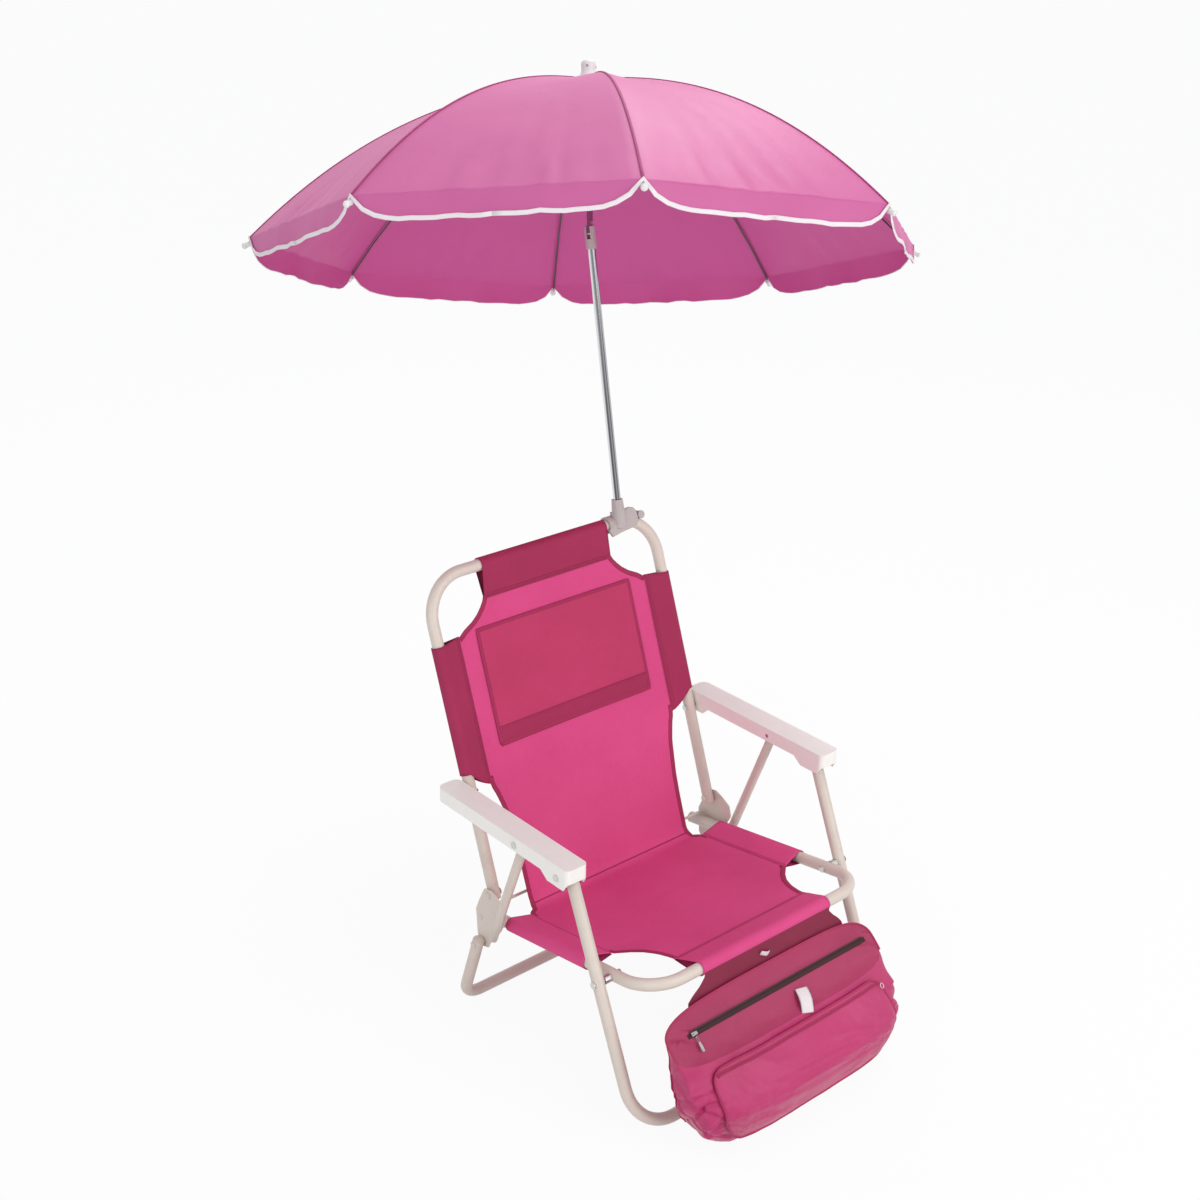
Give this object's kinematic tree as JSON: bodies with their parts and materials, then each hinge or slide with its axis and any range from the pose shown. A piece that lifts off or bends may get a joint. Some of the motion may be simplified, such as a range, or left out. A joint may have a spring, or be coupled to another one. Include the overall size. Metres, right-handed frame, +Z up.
{
  "type": "folding beach chair with umbrella",
  "caption": "Low folding beach chair with a fabric sling, a clamp-on tilting umbrella and a zipped bag hung from the seat's front",
  "frame": {"origin": "on the floor under the middle of the rear leg's crossbar", "axes": "+Z up, -Y the chair's front, +X the right side seen from the front"},
  "size_m": [1.032, 1.2656, 1.4492],
  "materials": {
    "frame_paint": "smooth beige paint, slightly glossy",
    "arm_paint": "beige stamped arm, satin",
    "bright_steel": "bare bright steel",
    "chrome": "bright plated tube",
    "white_plastic": "off-white moulded plastic",
    "sling_fabric": "deep pink woven polyester",
    "canopy_fabric": "pink coated umbrella cloth with a soft sheen",
    "bag_fabric": "pink woven polyester with a slight sheen",
    "zip_tape": "dark brown zip tape"
  },
  "bodies": {
    "seat": {"seat_frame": "frame_paint", "hinge_plate_left": "frame_paint", "hinge_plate_right": "frame_paint", "cross_rod": "bright_steel", "seat_sling": "sling_fabric", "leg_pivot_pin_left": "bright_steel", "leg_pivot_pin_right": "bright_steel", "bag": "bag_fabric", "bag_pocket": "bag_fabric", "zip_tape": "zip_tape"},
    "back": {"back_frame": "frame_paint", "back_sling": "sling_fabric", "headrest_panel": "sling_fabric", "clamp_body": "white_plastic"},
    "arm_left": {"arm_left": "arm_paint", "arm_pivot_pin_left": "bright_steel", "link_rivet_left": "bright_steel", "front_rivet_left": "bright_steel"},
    "link_left": {"link_left": "frame_paint"},
    "arm_right": {"arm_right": "arm_paint", "arm_pivot_pin_right": "bright_steel", "link_rivet_right": "bright_steel", "front_rivet_right": "bright_steel"},
    "link_right": {"link_right": "frame_paint"},
    "front_leg": {"front_leg": "frame_paint"},
    "rear_leg": {"rear_leg": "frame_paint"},
    "clamp_jaw": {"clamp_jaw": "white_plastic"},
    "clamp_screw": {"clamp_screw": "white_plastic"},
    "pole": {"lower_pole": "chrome", "tilt_knuckle": "white_plastic"},
    "canopy_top": {"upper_pole": "chrome", "crown_finial": "white_plastic", "canopy": "canopy_fabric"},
    "runner": {"runner": "white_plastic"},
    "rib_1": {"rib_1": "bright_steel", "rib_tip_1": "white_plastic"},
    "stretcher_1": {"stretcher_1": "bright_steel"},
    "rib_2": {"rib_2": "bright_steel", "rib_tip_2": "white_plastic"},
    "stretcher_2": {"stretcher_2": "bright_steel"},
    "rib_3": {"rib_3": "bright_steel", "rib_tip_3": "white_plastic"},
    "stretcher_3": {"stretcher_3": "bright_steel"},
    "rib_4": {"rib_4": "bright_steel", "rib_tip_4": "white_plastic"},
    "stretcher_4": {"stretcher_4": "bright_steel"},
    "rib_5": {"rib_5": "bright_steel", "rib_tip_5": "white_plastic"},
    "stretcher_5": {"stretcher_5": "bright_steel"},
    "rib_6": {"rib_6": "bright_steel", "rib_tip_6": "white_plastic"},
    "stretcher_6": {"stretcher_6": "bright_steel"},
    "rib_7": {"rib_7": "bright_steel", "rib_tip_7": "white_plastic"},
    "stretcher_7": {"stretcher_7": "bright_steel"},
    "rib_8": {"rib_8": "bright_steel", "rib_tip_8": "white_plastic"},
    "stretcher_8": {"stretcher_8": "bright_steel"},
    "zip_slider": {"zip_slider": "bright_steel"},
    "zip_pull": {"zip_pull": "bright_steel"}
  },
  "joints": [
    {"name": "back_fold", "type": "hinge", "parent": "seat", "child": "back", "pos_m": [0, -0.05628, 0.23196], "axis": [1, 0, 0], "range_deg": [0, 95]},
    {"name": "arm_left_turn", "type": "hinge", "parent": "back", "child": "arm_left", "pos_m": [0, 0, 0.3876], "axis": [1, 0, 0], "range_deg": [-101.88, 0]},
    {"name": "link_left_turn", "type": "hinge", "parent": "arm_left", "child": "link_left", "pos_m": [0, -0.1735, 0.3985], "axis": [1, 0, 0], "range_deg": [0, 57]},
    {"name": "arm_right_turn", "type": "hinge", "parent": "back", "child": "arm_right", "pos_m": [0, 0, 0.3876], "axis": [1, 0, 0], "range_deg": [-101.88, 0]},
    {"name": "link_right_turn", "type": "hinge", "parent": "arm_right", "child": "link_right", "pos_m": [0, -0.1735, 0.3985], "axis": [1, 0, 0], "range_deg": [0, 57]},
    {"name": "front_leg_turn", "type": "hinge", "parent": "seat", "child": "front_leg", "pos_m": [0, -0.33994, 0.23169], "axis": [1, 0, 0], "range_deg": [0, 85.27]},
    {"name": "rear_leg_turn", "type": "hinge", "parent": "seat", "child": "rear_leg", "pos_m": [0, -0.042, 0.139], "axis": [1, 0, 0], "range_deg": [-76, 0]},
    {"name": "clamp_jaw_open", "type": "hinge", "parent": "back", "child": "clamp_jaw", "pos_m": [0.166, 0.12206, 0.72515], "axis": [1, 0, 0], "range_deg": [0, 35]},
    {"name": "clamp_screw_turn", "type": "hinge", "parent": "back", "child": "clamp_screw", "pos_m": [0.206, 0.1182, 0.71449], "axis": [0, -0.9404, 0.3401], "continuous": true},
    {"name": "pole_swivel", "type": "hinge", "parent": "back", "child": "pole", "pos_m": [0.1587, 0.1069, 0.7136], "axis": [0, 0.1831, 0.9831], "continuous": true},
    {"name": "canopy_tilt", "type": "hinge", "parent": "pole", "child": "canopy_top", "pos_m": [0.1587, 0.19497, 1.18647], "axis": [-0.4809, 0.862, -0.1605], "range_deg": [-14.75, 15]},
    {"name": "rib_1_fold", "type": "hinge", "parent": "canopy_top", "child": "rib_1", "pos_m": [0.22032, 0.26344, 1.39047], "axis": [-0.233, 0.941, -0.2454], "range_deg": [0, 5.19], "deforming": ["canopy"]},
    {"name": "runner_slide", "type": "slide", "parent": "canopy_top", "child": "runner", "axis": [-0.2232, -0.2974, -0.9283], "range_m": [0, 0.04]},
    {"name": "stretcher_1_turn", "type": "hinge", "parent": "runner", "child": "stretcher_1", "pos_m": [0.18782, 0.22068, 1.25741], "axis": [-0.233, 0.941, -0.2454], "range_deg": [-3.9, 0]},
    {"name": "rib_2_fold", "type": "hinge", "parent": "canopy_top", "child": "rib_2", "pos_m": [0.21484, 0.2711, 1.38933], "axis": [-0.8341, 0.5512, 0.024], "range_deg": [0, 5.19]},
    {"name": "stretcher_2_turn", "type": "hinge", "parent": "runner", "child": "stretcher_2", "pos_m": [0.18256, 0.22804, 1.25632], "axis": [-0.8341, 0.5512, 0.024], "range_deg": [-3.9, 0]},
    {"name": "rib_3_fold", "type": "hinge", "parent": "canopy_top", "child": "rib_3", "pos_m": [0.20569, 0.2731, 1.39089], "axis": [-0.9465, -0.1615, 0.2793], "range_deg": [0, 5.19]},
    {"name": "stretcher_3_turn", "type": "hinge", "parent": "runner", "child": "stretcher_3", "pos_m": [0.17378, 0.22996, 1.25781], "axis": [-0.9465, -0.1615, 0.2793], "range_deg": [-3.9, 0]},
    {"name": "rib_4_fold", "type": "hinge", "parent": "canopy_top", "child": "rib_4", "pos_m": [0.19824, 0.26827, 1.39423], "axis": [-0.5045, -0.7796, 0.3711], "range_deg": [0, 5.19]},
    {"name": "stretcher_4_turn", "type": "hinge", "parent": "runner", "child": "stretcher_4", "pos_m": [0.16663, 0.22532, 1.26102], "axis": [-0.5045, -0.7796, 0.3711], "range_deg": [-3.9, 0]},
    {"name": "rib_5_fold", "type": "hinge", "parent": "canopy_top", "child": "rib_5", "pos_m": [0.19685, 0.25943, 1.3974], "axis": [0.233, -0.941, 0.2454], "range_deg": [0, 5.19]},
    {"name": "stretcher_5_turn", "type": "hinge", "parent": "runner", "child": "stretcher_5", "pos_m": [0.16529, 0.21684, 1.26406], "axis": [0.233, -0.941, 0.2454], "range_deg": [-3.9, 0]},
    {"name": "rib_6_fold", "type": "hinge", "parent": "canopy_top", "child": "rib_6", "pos_m": [0.20233, 0.25177, 1.39854], "axis": [0.8341, -0.5512, -0.024], "range_deg": [0, 5.19]},
    {"name": "stretcher_6_turn", "type": "hinge", "parent": "runner", "child": "stretcher_6", "pos_m": [0.17055, 0.20948, 1.26515], "axis": [0.8341, -0.5512, -0.024], "range_deg": [-3.9, 0]},
    {"name": "rib_7_fold", "type": "hinge", "parent": "canopy_top", "child": "rib_7", "pos_m": [0.21147, 0.24977, 1.39698], "axis": [0.9465, 0.1615, -0.2793], "range_deg": [0, 5.19]},
    {"name": "stretcher_7_turn", "type": "hinge", "parent": "runner", "child": "stretcher_7", "pos_m": [0.17933, 0.20756, 1.26365], "axis": [0.9465, 0.1615, -0.2793], "range_deg": [-3.9, 0]},
    {"name": "rib_8_fold", "type": "hinge", "parent": "canopy_top", "child": "rib_8", "pos_m": [0.21893, 0.2546, 1.39364], "axis": [0.5045, 0.7796, -0.3711], "range_deg": [0, 5.19]},
    {"name": "stretcher_8_turn", "type": "hinge", "parent": "runner", "child": "stretcher_8", "pos_m": [0.18648, 0.2122, 1.26045], "axis": [0.5045, 0.7796, -0.3711], "range_deg": [-3.9, 0]},
    {"name": "zip_slide", "type": "slide", "parent": "seat", "child": "zip_slider", "axis": [1, 0, 0], "range_m": [0, 0.362]},
    {"name": "zip_pull_swing", "type": "hinge", "parent": "zip_slider", "child": "zip_pull", "pos_m": [-0.193, -0.47834, 0.18419], "axis": [1, 0, 0], "range_deg": [-90, 0]}
  ],
  "couplings": [
    {"joint": "arm_left_turn", "follows": "back_fold", "ratio": -1.0724},
    {"joint": "arm_right_turn", "follows": "back_fold", "ratio": -1.0724},
    {"joint": "link_left_turn", "follows": "back_fold", "ratio": 0.6},
    {"joint": "link_right_turn", "follows": "back_fold", "ratio": 0.6},
    {"joint": "front_leg_turn", "follows": "back_fold", "ratio": 0.8976},
    {"joint": "rear_leg_turn", "follows": "back_fold", "ratio": -0.8},
    {"joint": "runner_slide", "follows": "rib_1_fold", "m_per_rad": 0.44154},
    {"joint": "stretcher_1_turn", "follows": "rib_1_fold", "ratio": -0.75137},
    {"joint": "rib_2_fold", "follows": "rib_1_fold", "ratio": 1},
    {"joint": "stretcher_2_turn", "follows": "rib_1_fold", "ratio": -0.75137},
    {"joint": "rib_3_fold", "follows": "rib_1_fold", "ratio": 1},
    {"joint": "stretcher_3_turn", "follows": "rib_1_fold", "ratio": -0.75137},
    {"joint": "rib_4_fold", "follows": "rib_1_fold", "ratio": 1},
    {"joint": "stretcher_4_turn", "follows": "rib_1_fold", "ratio": -0.75137},
    {"joint": "rib_5_fold", "follows": "rib_1_fold", "ratio": 1},
    {"joint": "stretcher_5_turn", "follows": "rib_1_fold", "ratio": -0.75137},
    {"joint": "rib_6_fold", "follows": "rib_1_fold", "ratio": 1},
    {"joint": "stretcher_6_turn", "follows": "rib_1_fold", "ratio": -0.75137},
    {"joint": "rib_7_fold", "follows": "rib_1_fold", "ratio": 1},
    {"joint": "stretcher_7_turn", "follows": "rib_1_fold", "ratio": -0.75137},
    {"joint": "rib_8_fold", "follows": "rib_1_fold", "ratio": 1},
    {"joint": "stretcher_8_turn", "follows": "rib_1_fold", "ratio": -0.75137}
  ]
}
